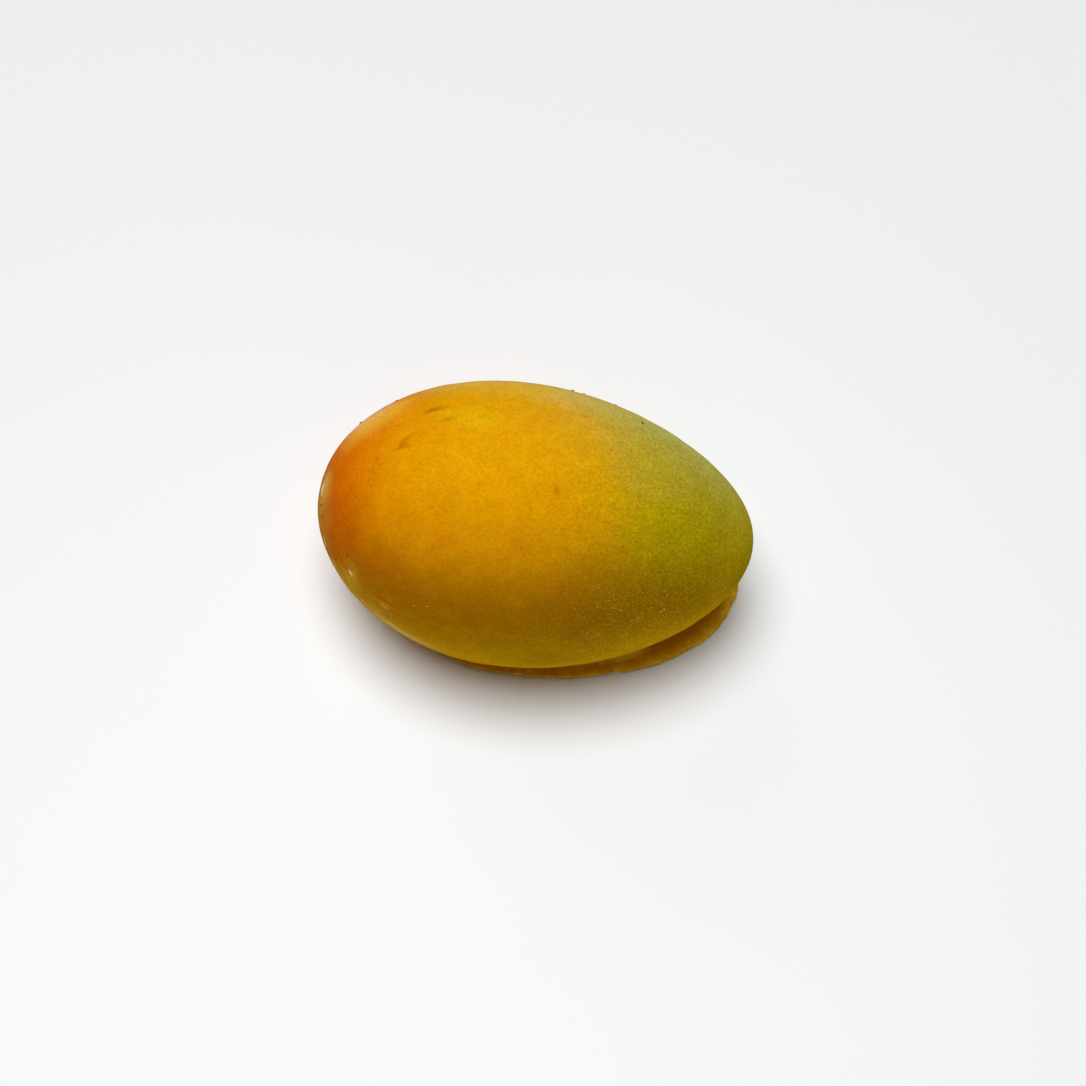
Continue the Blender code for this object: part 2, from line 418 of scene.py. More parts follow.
# %% [markdown]
# From arrays to a mesh
#
# One helper turns a grid of points into a closed mesh: quads between neighbouring rows, which
# run round the piece, and a fan of triangles at each pole. Blender takes the whole arrays with
# foreach_set, and the attributes go in the same way.


# %% Helper for closed skins
def closed_skin(name, grid, first_pole, last_pole, attributes):
    """A closed mesh of a grid of rows that run round the piece, with a pole at both ends."""
    rows, steps = grid.shape[:2]
    points = np.concatenate([grid.reshape(-1, 3), [first_pole, last_pole]])
    number = np.arange(rows * steps).reshape(rows, steps)
    beside = np.roll(number, -1, axis=1)
    quads = np.stack([number[:-1], number[1:], beside[1:], beside[:-1]], -1).reshape(-1, 4)
    first_fan = np.stack([np.full(steps, rows * steps), number[0], beside[0]], -1)
    last_fan = np.stack([np.full(steps, rows * steps + 1), beside[-1], number[-1]], -1)
    corners = np.concatenate([quads.ravel(), first_fan.ravel(), last_fan.ravel()])
    starts = np.concatenate([4 * np.arange(len(quads)),
                             4 * len(quads) + 3 * np.arange(2 * steps)])
    mesh = bpy.data.meshes.new(name)
    mesh.vertices.add(len(points))
    mesh.vertices.foreach_set("co", points.ravel())
    mesh.loops.add(len(corners))
    mesh.loops.foreach_set("vertex_index", corners.astype(np.int32))
    mesh.polygons.add(len(starts))
    mesh.polygons.foreach_set("loop_start", starts.astype(np.int32))
    mesh.update(calc_edges=True)
    mesh.validate()
    mesh.shade_smooth()
    for key, amount in attributes.items():
        grid_amount = amount.reshape(rows, steps)
        whole = np.concatenate([amount.ravel(), [grid_amount[0].mean(), grid_amount[-1].mean()]])
        mesh.attributes.new(key, "FLOAT", "POINT").data.foreach_set(
            "value", whole.astype(np.float32))
    thing = bpy.data.objects.new(name, mesh)
    bpy.context.scene.collection.objects.link(thing)
    print(name, len(mesh.polygons), "faces")
    return thing


def keep_in_box(points):
    """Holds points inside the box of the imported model."""
    return np.clip(points, np.array(cad_box[0]), np.array(cad_box[1]))


# %% [markdown]
# The body's skin
#
# On the real dessert the skin is a film of cocoa butter on a frozen body. Here it is one closed
# mesh with the raised and dented points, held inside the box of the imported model.

# %% Body skin
body_grid = keep_in_box(skin).reshape(TURN_STEPS, ROUND_STEPS, 3)
velvet_body = closed_skin("velvet_body", body_grid, (-0.5 * LENGTH, CENTRE, WAIST),
                          (0.5 * LENGTH, CENTRE, WAIST), skin_marks)

# %% [markdown]
# The foot of set coating
#
# Coating that runs off the body sets in a thin foot around its base. Its rim is an egg in plan
# with many small lobes, a notch and a nick, and its edge is rolled like that of a drop. The
# foot climbs to the body where the coating filled the groove beneath it, in one place at the
# front as a wide web. It is a profile carried round the rim: each ring is the rim moved
# inwards, at a height of its own.

# %% Rim, profile and heights of the foot
FOOT_MIDDLE = 4.8 * MM
FOOT_LENGTH = 87.1 * MM
FOOT_WIDTH = 56.0 * MM
FOOT_EGG = 0.101
FOOT_THICK = 1.3 * MM
RIM_WAVES = ((5, 0.25), (13, 0.14), (23, 0.08), (37, 0.06))    # lobes, mm
FINE_WAVES = ((61, 0.03), (89, 0.02), (131, 0.015), (197, 0.01))
NOTCH_PLACE, NOTCH_WIDTH, NOTCH_DEPTH = 22.5 * MM, 1.6 * MM, 0.5 * MM
RIM_SPOTS = ((111.6, 0.6, 0.35), (171.0, 0.5, -0.32), (169.4, 0.8, 0.12))    # angle, width, mm
RUN_START, RUN_END, RUN_FADE = 13.0 * MM, 27.0 * MM, 3.5 * MM
RUN_HEIGHT = 4.0 * MM
RUN_TOE, RUN_DEPTH, RUN_HOLLOW = 2.3 * MM, 2.0 * MM, 1.6
OVERLAP = 0.1 * MM          # how far the coating runs into the body
FILLET_FULL, FILLET_END = 0.3 * MM, 2.2 * MM    # of the room under the body
FOOT_STEPS = 720


def rim_line(around):
    """The rim in plan, moved in and out from the foot's middle by waves and a notch."""
    x = FOOT_MIDDLE - 0.5 * FOOT_LENGTH * np.cos(around)
    y = -0.5 * FOOT_WIDTH * np.sin(around) * np.exp(FOOT_EGG * np.cos(around))
    ragged = np.zeros_like(around)
    for seed, waves_of_rim in ((11, RIM_WAVES), (12, FINE_WAVES)):
        rng = np.random.default_rng(seed)
        for lobes, depth in waves_of_rim:
            ragged += depth * MM * np.cos(lobes * around + rng.uniform(0.0, 2.0 * math.pi))
    ragged -= NOTCH_DEPTH * np.exp(-((x - NOTCH_PLACE) / NOTCH_WIDTH) ** 2) * (y < 0.0)
    for spot, width, depth in RIM_SPOTS:
        ragged += depth * MM * np.exp(-((np.degrees(around) - spot) / width) ** 2)
    grow = 1.0 + ragged / np.hypot(x - FOOT_MIDDLE, y)
    return FOOT_MIDDLE + (x - FOOT_MIDDLE) * grow, y * grow


def coat_climb(x, y, inward):
    """Height of the coating above the foot's top: the wide web, or a small fillet elsewhere."""
    room = np.maximum(underside(x, y) - FOOT_THICK, 0.0)
    window = smooth_step(x, RUN_START - RUN_FADE, RUN_START + RUN_FADE)
    window = window * smooth_step(-x, -RUN_END - RUN_FADE, -RUN_END + RUN_FADE) * (y < 0.0)
    climb = np.clip((inward - RUN_TOE) / RUN_DEPTH, 0.0, 1.5)
    web = np.minimum(window * RUN_HEIGHT * climb ** RUN_HOLLOW, room + OVERLAP)
    fillet = (room + OVERLAP) * (1.0 - smooth_step(room, FILLET_FULL, FILLET_END))
    return np.maximum(web, fillet)


rim_around = np.linspace(0.0, 2.0 * math.pi, FOOT_STEPS, endpoint=False)
rim_x, rim_y = rim_line(rim_around)
rim_reach = np.hypot(rim_x - FOOT_MIDDLE, rim_y)


def foot_ring(inward, share, height, top):
    """The rim moved inwards by millimetres and shrunk to a share, at a height in millimetres."""
    scale = share * (1.0 - inward * MM / rim_reach)
    x = FOOT_MIDDLE + (rim_x - FOOT_MIDDLE) * scale
    y = rim_y * scale
    z = np.full_like(x, height * MM)
    if top:
        z = z + coat_climb(x, y, rim_reach * (1.0 - scale))
    return np.stack([x, y, z], -1)


# %% Rings of the foot and its mesh
UNDER = ((2.0, 0.3), (2.0, 0.65), (2.0, 1.0), (1.2, 1.0))    # inwards, share
EDGE = ((0.75, 0.06), (0.45, 0.16), (0.22, 0.32), (0.08, 0.5), (0.0, 0.7), (0.03, 0.88),
        (0.13, 1.05), (0.28, 1.18), (0.46, 1.26))
TOP_RINGS = np.concatenate([np.linspace(0.7, 8.0, 40), np.linspace(8.5, 10.0, 4)])
MIDDLE_SHARES = (0.7, 0.35)
UNEVEN = ((0.03, 2.6, 40, 8), (0.05, 7.0, 20, 9))    # height, length, count of waves, seed
LIFT_FROM, LIFT_TO = 0.3 * MM, 1.2 * MM
# Painted shade: the foot is painted browner inwards, under the body's overhang.
INNER_SHADE_FROM, INNER_SHADE_TO = 0.8 * MM, 4.5 * MM    # where the colour turns browner

rings = [foot_ring(inward, share, 0.0, False) for inward, share in UNDER]
rings += [foot_ring(inward, 1.0, height, False) for inward, height in EDGE]
rings += [foot_ring(inward, 1.0, FOOT_THICK / MM, True) for inward in TOP_RINGS]
rings += [foot_ring(TOP_RINGS[-1], share, FOOT_THICK / MM, True) for share in MIDDLE_SHARES]
foot_grid = np.stack(rings)
uneven = sum(height * waves(foot_grid.reshape(-1, 3), *kind) for height, *kind in UNEVEN)
lifted = smooth_step(foot_grid[..., 2], LIFT_FROM, LIFT_TO)
foot_grid[..., 2] += uneven.reshape(foot_grid.shape[:2]) * lifted * MM
inner = rim_reach[None, :] - np.hypot(foot_grid[..., 0] - FOOT_MIDDLE, foot_grid[..., 1])
climbed = foot_grid[..., 2] - FOOT_THICK
foot_grid = keep_in_box(foot_grid)
# The inward mask carries the foot's painted shade, the web mask its painted light.
foot_skin = closed_skin("foot_skin", foot_grid, (FOOT_MIDDLE, 0.0, 0.0),
                        (FOOT_MIDDLE, 0.0, foot_grid[-1, :, 2].mean()),
                        {"inward": smooth_step(inner, INNER_SHADE_FROM, INNER_SHADE_TO),
                         "web": np.clip(climbed / RUN_HEIGHT, 0.0, 1.0)})

# %% [markdown]
# Spray droplets
#
# An airbrush spits now and then. Each spit dries as a tiny bead on the skin. One small bead of a
# few dozen faces is made once and copied by arrays to every place: its points are turned to the
# skin's outward direction and scaled. The beads on the upper edge show in the outline.

# %% Places and sizes of the beads
BEAD_SIDES = 7
BEAD_LEVELS = (0.0, 0.55, 0.9)


def bead_template():
    """A squashed dome: rings on a half circle, a top pole and a flat bottom."""
    angle = np.linspace(0.0, 2.0 * math.pi, BEAD_SIDES, endpoint=False)
    rows = [np.stack([np.cos(angle) * math.sqrt(1 - h * h), np.sin(angle) * math.sqrt(1 - h * h),
                      np.full(BEAD_SIDES, 0.8 * h - 0.25)], -1) for h in BEAD_LEVELS]
    points = np.concatenate([*rows, [[0.0, 0.0, 0.55]], [[0.0, 0.0, -0.35]]])
    faces = []
    for row in range(len(BEAD_LEVELS) - 1):
        for i in range(BEAD_SIDES):
            j = (i + 1) % BEAD_SIDES
            a, b = row * BEAD_SIDES, (row + 1) * BEAD_SIDES
            faces += [(a + i, a + j, b + j), (a + i, b + j, b + i)]
    last = (len(BEAD_LEVELS) - 1) * BEAD_SIDES
    top_pole, low_pole = len(points) - 2, len(points) - 1
    for i in range(BEAD_SIDES):
        j = (i + 1) % BEAD_SIDES
        faces += [(last + i, last + j, top_pole), (j, i, low_pole)]
    return points, np.array(faces)


def scatter(name, places, radii, tint):
    """One mesh of many beads: the template turned to the skin, scaled, and moved to each place."""
    points, faces = bead_template()
    normal = skin_out[places]
    side = np.cross(normal, [0.0, 0.0, 1.0]) + 1e-9
    side /= np.linalg.norm(side, axis=1, keepdims=True)
    other = np.cross(normal, side)
    turned = (points[None, :, 0, None] * side[:, None] + points[None, :, 1, None] * other[:, None]
              + points[None, :, 2, None] * normal[:, None])
    all_points = skin[places][:, None] + turned * radii[:, None, None] * MM
    all_faces = faces[None] + (len(points) * np.arange(len(places)))[:, None, None]
    mesh = bpy.data.meshes.new(name)
    mesh.from_pydata(keep_in_box(all_points.reshape(-1, 3)), [], all_faces.reshape(-1, 3).tolist())
    mesh.shade_smooth()
    mesh.attributes.new("tint", "FLOAT", "POINT").data.foreach_set(
        "value", np.repeat(tint, len(points)).astype(np.float32))
    thing = bpy.data.objects.new(name, mesh)
    bpy.context.scene.collection.objects.link(thing)
    print(name, len(places), "beads,", len(mesh.polygons), "faces")
    return thing


# The pale beads are partly painted glints: light caught by little bubbles on the skin.
NAMED_BEADS = (  # pixel across and down, radius in millimetres, paleness
    (573, 388, 0.5, 0.25), (584, 392, 0.38, 0.25), (615, 405, 0.42, 0.3), (360, 422, 0.46, 0.05),
    (397, 401, 0.42, 0.05), (642, 423, 0.42, 0.0), (347, 555, 0.34, 0.0), (321, 505, 0.4, 0.0),
    (321, 498, 0.26, 0.0), (322, 517, 0.26, 0.0), (413, 606, 0.16, 1.0), (427, 606, 0.18, 1.0),
    (579, 663, 0.15, 1.0), (583, 663, 0.17, 1.0), (582, 650, 0.17, 0.9), (620, 611, 0.15, 1.0),
    (660, 612, 0.2, 1.0), (725, 588, 0.17, 1.0), (723, 592, 0.2, 1.0), (736, 578, 0.17, 1.0),
    (664, 610, 0.2, 1.0), (614, 608, 0.16, 1.0), (618, 546, 0.15, 1.0), (436, 475, 0.16, 0.8),
    (454, 477, 0.2, 0.8), (435, 490, 0.13, 0.8),
)
FREE_BEADS = 380
FREE_SMALLEST, FREE_SPREAD = 0.05, 0.07    # radii in millimetres
FREE_EVERYWHERE, FREE_IN_PEPPER = 0.05, 2.5    # how densely they fall
FREE_ABOVE = 3.0 * MM       # none falls lower than this

rng = np.random.default_rng(21)
named_places = np.array([seen_at(across, down) for across, down, _, _ in NAMED_BEADS])
weight = np.ones(len(smooth_skin)) * (smooth_skin[:, 2] > FREE_ABOVE)
weight *= FREE_EVERYWHERE + FREE_IN_PEPPER * pepper
crowding = np.interp(arounds[0], fine, density)[None, :]
area = np.sin(np.repeat(turns[:, 0], ROUND_STEPS)) / np.repeat(crowding, TURN_STEPS, 0).ravel()
weight *= area
free_places = rng.choice(len(smooth_skin), FREE_BEADS, replace=False, p=weight / weight.sum())
free_radii = FREE_SMALLEST + FREE_SPREAD * rng.random(FREE_BEADS) ** 2
free_tint = 0.6 + 0.4 * rng.random(FREE_BEADS)
bead_places = np.concatenate([named_places, free_places])
bead_radii = np.concatenate([[radius for _, _, radius, _ in NAMED_BEADS], free_radii])
bead_tint = np.concatenate([[glint_paleness for _, _, _, glint_paleness in NAMED_BEADS], free_tint])
spray_beads = scatter("spray_beads", bead_places, bead_radii, bead_tint)

# %% [markdown]
# Shared effects
#
# An effect that serves in many places is a group of shader nodes with named inputs and outputs.
# The first gives the fine grain of sprayed cocoa butter: a mix of two noises, rusty spots, and
# specks, which are the middles of random cells. It puts out amounts alone: one grain serves the
# edge of every pass of the airbrush, the tone and the bumps, and the colours come later.


# %% Node group helpers
def new_group(name, inputs, outputs):
    """A shader node group with sockets given as (name, kind, default)."""
    group = bpy.data.node_groups.new(name, "ShaderNodeTree")
    for key, kind, default in inputs:
        socket = group.interface.new_socket(name=key, in_out="INPUT", socket_type=kind)
        if default is not None:
            socket.default_value = default
    for key, kind in outputs:
        group.interface.new_socket(name=key, in_out="OUTPUT", socket_type=kind)
    source = group.nodes.new("NodeGroupInput")
    target = group.nodes.new("NodeGroupOutput")
    return group, source, target


def math_node(tree, operation, first, second=0.0, third=0.0):
    """A Math node; numbers go on its sockets and sockets are linked to it."""
    node = tree.nodes.new("ShaderNodeMath")
    node.operation = operation
    for place, value in enumerate((first, second, third)):
        if isinstance(value, bpy.types.NodeSocket):
            tree.links.new(value, node.inputs[place])
        else:
            node.inputs[place].default_value = value
    return node.outputs[0]


def vector_node(tree, operation, first, second):
    """A Vector Math node of two sockets."""
    node = tree.nodes.new("ShaderNodeVectorMath")
    node.operation = operation
    tree.links.new(first, node.inputs[0])
    tree.links.new(second, node.inputs[1])
    return node.outputs["Value" if operation == "LENGTH" else "Vector"]


def mix_colour(tree, amount, below, above, blend="MIX"):
    """A Mix node for colours."""
    node = tree.nodes.new("ShaderNodeMix")
    node.data_type = "RGBA"
    node.blend_type = blend
    node.clamp_result = True
    for place, value in ((AMOUNT, amount), (BELOW, below), (ABOVE, above)):
        if isinstance(value, bpy.types.NodeSocket):
            tree.links.new(value, node.inputs[place])
        elif place == AMOUNT:
            node.inputs[place].default_value = value
        else:
            node.inputs[place].default_value = (*value, 1.0)
    return node.outputs[RESULT]


def noise(tree, where, scale, detail=2.0, rough=0.5):
    """The value of a noise whose features are about 1 / scale metres."""
    node = tree.nodes.new("ShaderNodeTexNoise")
    node.inputs["Scale"].default_value = scale
    node.inputs["Detail"].default_value = detail
    node.inputs["Roughness"].default_value = rough
    tree.links.new(where, node.inputs["Vector"])
    return node.outputs["Fac"]


def ramp_value(tree, value, low, high, to_low=0.0, to_high=1.0):
    """A Map Range node with smooth ends."""
    node = tree.nodes.new("ShaderNodeMapRange")
    node.interpolation_type = "SMOOTHSTEP"
    for place, number in enumerate((low, high, to_low, to_high), 1):
        node.inputs[place].default_value = number
    tree.links.new(value, node.inputs[0])
    return node.outputs[0]


# %% Velvet grain
FINE_GRAIN, COARSE_GRAIN, FINE_SHARE = 2200.0, 900.0, 0.78
RUST_GRAIN, RUST_FROM, RUST_TO = 1300.0, 0.42, 0.66
SPECKS = (  # name, cells a metre, size in cells, share left out
    ("Dark Specks", 1100.0, 0.34, 0.6),
    ("Light Specks", 1300.0, 0.3, 0.6),
    ("Pepper Glints", 1900.0, 0.48, 0.3),
)

velvet_grain, source, target = new_group(
    "velvet_grain", [("Place", "NodeSocketVector", None)],
    [("Grain", "NodeSocketFloat"), ("Dark Specks", "NodeSocketFloat"),
     ("Light Specks", "NodeSocketFloat"), ("Pepper Glints", "NodeSocketFloat"),
     ("Rust", "NodeSocketFloat")])
place = source.outputs["Place"]
fine_grain = noise(velvet_grain, place, FINE_GRAIN, 2.0, 0.6)
coarse_grain = noise(velvet_grain, place, COARSE_GRAIN, 2.0, 0.5)
both = math_node(velvet_grain, "MULTIPLY_ADD", coarse_grain, 1.0 - FINE_SHARE,
                 math_node(velvet_grain, "MULTIPLY", fine_grain, FINE_SHARE))
velvet_grain.links.new(both, target.inputs["Grain"])
rust = ramp_value(velvet_grain, noise(velvet_grain, place, RUST_GRAIN, 4.0, 0.7),
                  RUST_FROM, RUST_TO)
velvet_grain.links.new(rust, target.inputs["Rust"])
for key, scale, size, left_out in SPECKS:
    cells = velvet_grain.nodes.new("ShaderNodeTexVoronoi")
    cells.inputs["Scale"].default_value = scale
    velvet_grain.links.new(place, cells.inputs["Vector"])
    split = velvet_grain.nodes.new("ShaderNodeSeparateColor")
    velvet_grain.links.new(cells.outputs["Color"], split.inputs[0])
    dot = ramp_value(velvet_grain, cells.outputs["Distance"], size, 0.5 * size)
    some = ramp_value(velvet_grain, split.outputs[0], left_out, 1.0)
    velvet_grain.links.new(math_node(velvet_grain, "MULTIPLY", dot, some), target.inputs[key])

# %% [markdown]
# One pass of the airbrush
#
# A short burst of an airbrush leaves a soft cloud of paint. The group makes it about a centre,
# with the amount e^(-r^fall), r being the distance in radii, and lays it over the colour below.
# Its edge is grainy, as it is where fine droplets grow sparse.

# %% Airbrush pass
EDGE_GRAIN = 1.0

airbrush_pass, source, target = new_group(
    "airbrush_pass",
    [("Place", "NodeSocketVector", None), ("Below", "NodeSocketColor", None),
     ("Paint", "NodeSocketColor", None), ("Centre", "NodeSocketVector", None),
     ("Radii", "NodeSocketVector", None), ("Strength", "NodeSocketFloat", 1.0),
     ("Fall", "NodeSocketFloat", 2.0), ("Grain", "NodeSocketFloat", 0.5)],
    [("Colour", "NodeSocketColor")])
away = vector_node(airbrush_pass, "SUBTRACT", source.outputs["Place"], source.outputs["Centre"])
units = vector_node(airbrush_pass, "DIVIDE", away, source.outputs["Radii"])
distance = vector_node(airbrush_pass, "LENGTH", units, units)
fallen = math_node(airbrush_pass, "POWER", distance, source.outputs["Fall"])
reach = math_node(airbrush_pass, "EXPONENT", math_node(airbrush_pass, "MULTIPLY", fallen, -1.0))
amount = math_node(airbrush_pass, "MULTIPLY", reach, source.outputs["Strength"])
edge = math_node(airbrush_pass, "MULTIPLY", amount,
                 math_node(airbrush_pass, "SUBTRACT", 1.0, amount))
shift = math_node(airbrush_pass, "MULTIPLY_ADD", source.outputs["Grain"], EDGE_GRAIN,
                  -0.5 * EDGE_GRAIN)
covered = math_node(airbrush_pass, "MULTIPLY_ADD", edge, shift, amount)
airbrush_pass.links.new(
    mix_colour(airbrush_pass, covered, source.outputs["Below"], source.outputs["Paint"]),
    target.inputs["Colour"])
print("groups:", [g.name for g in bpy.data.node_groups])

# %% [markdown]
# The velvet finish
#
# The dessert was painted gold, then orange and red at the blunt end, green at the narrow end,
# with a pale dusting where the two meet, part of it painted sheen. The passes also paint light
# and shade: painted shade as a dark olive band along the lower front, painted light from the
# floor on the yellow-green rims along the bottom edge, and painted sheen along the upper edge.
# The passes stand in a list in the order of spraying: centre and radii in millimetres,
# strength, how steeply the cloud ends, and the paint. A slow noise shifts their places a
# little, because a hand moved the airbrush. Marks, rusty spots and specks come over the paint.

# %% Paint
DRIFT = 6.0 * MM            # how far the slow noise shifts a cloud, half of it either way
GOLD = (0.804, 0.355, 0.0)
PASSES = (
    ("orange", (-45.8, 8.7, 33.6), (34.7, 57.4, 13.3), 1.00, 2.6,
     (0.661, 0.118, 0.001)),
    ("red", (-40.2, -10.2, 21.1), (10.4, 32.8, 15.2), 0.93, 3.6,
     (0.570, 0.073, 0.001)),
    ("yellow", (-9.8, 9.4, 50.5), (17.8, 11.2, 6.8), 0.92, 1.5,
     (0.873, 0.454, 0.001)),
    ("yellow patch", (-15.4, 14.2, 49.0), (7.2, 3.8, 6.0), 1.00, 4.1,
     (0.891, 0.578, 0.002)),
    ("green mist", (43.5, 9.4, 28.7), (44.4, 66.0, 29.5), 0.85, 4.1,
     (0.392, 0.381, 0.003)),
    ("green", (38.0, 0.0, 40.8), (20.5, 47.2, 5.3), 0.89, 2.3,
     (0.325, 0.271, 0.000)),
    # Overspray, and painted sheen where the upper right edge catches light.
    ("pale dust", (25.0, 19.4, 34.4), (28.2, 13.2, 10.7), 1.00, 2.1,
     (0.503, 0.517, 0.141)),
    # Painted sheen: a pale band along the upper back edge.
    ("pale ridge", (-8.7, 25.6, 41.4), (32.4, 5.0, 8.6), 0.90, 3.7,
     (0.614, 0.478, 0.116)),
    # Painted shade: a dark olive band over the lower front.
    ("olive front", (9.7, -24.3, 30.4), (65.2, 20.5, 21.5), 0.87, 3.4,
     (0.248, 0.097, 0.001)),
    # Yellow-green coat along the bottom edge, lightened as painted light from the floor.
    ("lower rim", (9.0, -26.7, 17.4), (97.3, 26.7, 16.5), 0.85, 3.4,
     (0.764, 0.441, 0.001)),
    # Yellow-green coat at the lower left, lightened as painted light from the floor.
    ("left rim", (-38.2, -19.6, 16.3), (18.3, 14.3, 11.3), 1.00, 2.9,
     (0.749, 0.461, 0.063)),
    # Painted shade: a dark band low on the front, below the waist.
    ("dusk", (20.3, -34.6, 23.4), (23.4, 5.6, 6.6), 0.55, 3.2,
     (0.294, 0.122, 0.000)),
    # Painted shade low at the front left.
    ("left dusk", (-34.3, -19.7, 19.9), (16.2, 11.0, 12.0), 0.10, 1.8,
     (0.405, 0.112, 0.001)),
    ("blush", (-17.0, 15.2, 53.9), (27.1, 12.0, 10.5), 0.33, 5.7,
     (0.662, 0.273, 0.000)),
    ("left patch", (-40.0, -20.3, 30.5), (3.3, 3.9, 5.8), 0.79, 2.8,
     (0.640, 0.430, 0.017)),
    ("brown end", (-48.4, -3.7, 30.9), (3.2, 13.0, 7.3), 0.63, 1.6,
     (0.308, 0.147, 0.034)),
    ("left yellow", (-47.2, -5.8, 32.2), (3.0, 9.0, 4.4), 0.68, 2.6,
     (0.629, 0.347, 0.045)),
    ("khaki edge", (33.0, 5.0, 47.1), (15.7, 23.9, 10.5), 0.45, 4.6,
     (0.434, 0.352, 0.001)),
    # Khaki, and painted sheen along the upper right edge.
    ("khaki rim", (27.2, 14.3, 47.5), (15.0, 15.1, 8.6), 0.21, 11.7,
     (0.442, 0.393, 0.062)),
    ("gold top", (-11.7, 21.5, 43.1), (15.7, 8.8, 6.7), 0.74, 3.4,
     (0.785, 0.455, 0.000)),
    ("upper rim", (-21.1, 19.6, 44.6), (20.8, 5.9, 7.8), 0.36, 3.9,
     (0.634, 0.257, 0.000)),
    ("amber front", (-8.9, -14.4, 40.9), (19.0, 5.9, 8.9), 0.66, 4.8,
     (0.848, 0.362, 0.004)),
    ("gold edge", (-5.4, -0.4, 35.0), (31.1, 25.8, 19.7), 0.30, 11.0,
     (0.734, 0.353, 0.003)),
)
BRUISE_PAINT = (0.5, 0.12, 0.0)
SCUFF_AND_HIGHLIGHT_PAINT = (0.84, 0.44, 0.03)
CREAM_PAINT = (0.8, 0.58, 0.26)
BARE_COAT_AND_HIGHLIGHT = (0.88, 0.62, 0.24)
DARK_SPECK = (0.34, 0.15, 0.0)
LIGHT_SPECK_AND_GLINT = (0.8, 0.55, 0.06)
RUST_TINT = (0.98, 0.78, 0.6)


# %% Helpers for finishes
def new_finish(name, roughness, specular):
    """A material with its Principled shader, and its own Object coordinates."""
    finish = bpy.data.materials.new(name)
    finish.use_nodes = True
    tree = finish.node_tree
    shader = tree.nodes["Principled BSDF"]
    shader.inputs["Roughness"].default_value = roughness
    shader.inputs["Specular IOR Level"].default_value = specular
    where = tree.nodes.new("ShaderNodeTexCoord").outputs["Object"]
    return finish, tree, shader, where


def read(tree, key):
    """The value of one attribute."""
    node = tree.nodes.new("ShaderNodeAttribute")
    node.attribute_name = key
    return node.outputs["Fac"]


def place_group(tree, group, links):
    """A group node with sockets or values on its inputs."""
    node = tree.nodes.new("ShaderNodeGroup")
    node.node_tree = group
    for key, value in links.items():
        if isinstance(value, bpy.types.NodeSocket):
            tree.links.new(value, node.inputs[key])
        elif isinstance(value, tuple):
            node.inputs[key].default_value = (*value, 1.0)
        else:
            node.inputs[key].default_value = value
    return node


# %% [markdown]
# Layers of the velvet finish
#
# Sprayed cocoa butter scatters light at its surface, so the shader is rough, without a mirror
# reflection, and has a faint sheen. Only where smooth coating is bare does a thin glossy coat
# lie over it. The layers go on in the order in which they came to be: paint, bruises, rust,
# rubbed and creamed places, flakes, specks.

# %% Velvet material
velvet, tree, shader, where = new_finish("velvet_coat", 0.6, 0.0)
grain = place_group(tree, velvet_grain, {"Place": where})
drift = tree.nodes.new("ShaderNodeTexNoise")
drift.inputs["Scale"].default_value = 90.0
drift.inputs["Detail"].default_value = 3.0
tree.links.new(where, drift.inputs["Vector"])
moved = tree.nodes.new("ShaderNodeVectorMath")
moved.operation = "MULTIPLY_ADD"
tree.links.new(drift.outputs["Color"], moved.inputs[0])
moved.inputs[1].default_value = (DRIFT, DRIFT, DRIFT)
tree.links.new(where, moved.inputs[2])
centred = tree.nodes.new("ShaderNodeVectorMath")
centred.operation = "SUBTRACT"
tree.links.new(moved.outputs["Vector"], centred.inputs[0])
centred.inputs[1].default_value = (0.5 * DRIFT, 0.5 * DRIFT, 0.5 * DRIFT)
colour = mix_colour(tree, 0.0, GOLD, GOLD)
for key, centre, radii, strength, fall, paint in PASSES:
    spray = place_group(tree, airbrush_pass, {
        "Place": centred.outputs["Vector"], "Below": colour, "Paint": paint,
        "Strength": strength, "Fall": fall, "Grain": grain.outputs["Grain"]})
    spray.label = key
    spray.inputs["Centre"].default_value = [v * MM for v in centre]
    spray.inputs["Radii"].default_value = [v * MM for v in radii]
    colour = spray.outputs["Colour"]
colour = mix_colour(tree, math_node(tree, "MULTIPLY", read(tree, "bruise"), 0.75), colour,
                    BRUISE_PAINT)
mottle = ramp_value(tree, noise(tree, where, 260.0, 4.0, 0.6), 0.35, 0.7, 0.95, 1.05)
colour = mix_colour(tree, grain.outputs["Rust"], colour, RUST_TINT, "MULTIPLY")
patchy = noise(tree, where, 1100.0, 4.0, 0.7)
flaky = noise(tree, where, 1500.0, 4.0, 0.75)
# The scuff and bare amounts also carry the painted highlight along the lower left edge.
rubbed_and_rim_lit = math_node(tree, "MULTIPLY", read(tree, "scuff_and_rim_highlight"),
                   ramp_value(tree, patchy, 0.3, 0.7, 0.65, 0.95))
colour = mix_colour(tree, rubbed_and_rim_lit, colour, SCUFF_AND_HIGHLIGHT_PAINT)
creamed = math_node(tree, "MULTIPLY", read(tree, "cream"),
                    ramp_value(tree, patchy, 0.3, 0.7, 0.5, 1.0))
colour = mix_colour(tree, creamed, colour, CREAM_PAINT)
bare_and_highlight_amount = ramp_value(tree, math_node(tree, "MULTIPLY_ADD", flaky, 0.9, read(tree, "bare_and_rim_highlight")),
                         0.95, 1.15)
colour = mix_colour(tree, math_node(tree, "MULTIPLY", bare_and_highlight_amount, 0.8), colour, BARE_COAT_AND_HIGHLIGHT)
dark = math_node(tree, "MULTIPLY", grain.outputs["Dark Specks"],
                 math_node(tree, "MULTIPLY_ADD", read(tree, "grit"), 0.3, 0.25))
colour = mix_colour(tree, dark, colour, DARK_SPECK)
light = math_node(tree, "MULTIPLY", grain.outputs["Light Specks"],
                  math_node(tree, "MULTIPLY_ADD", read(tree, "grit"), 0.3, 0.1))
colour = mix_colour(tree, light, colour, LIGHT_SPECK_AND_GLINT)
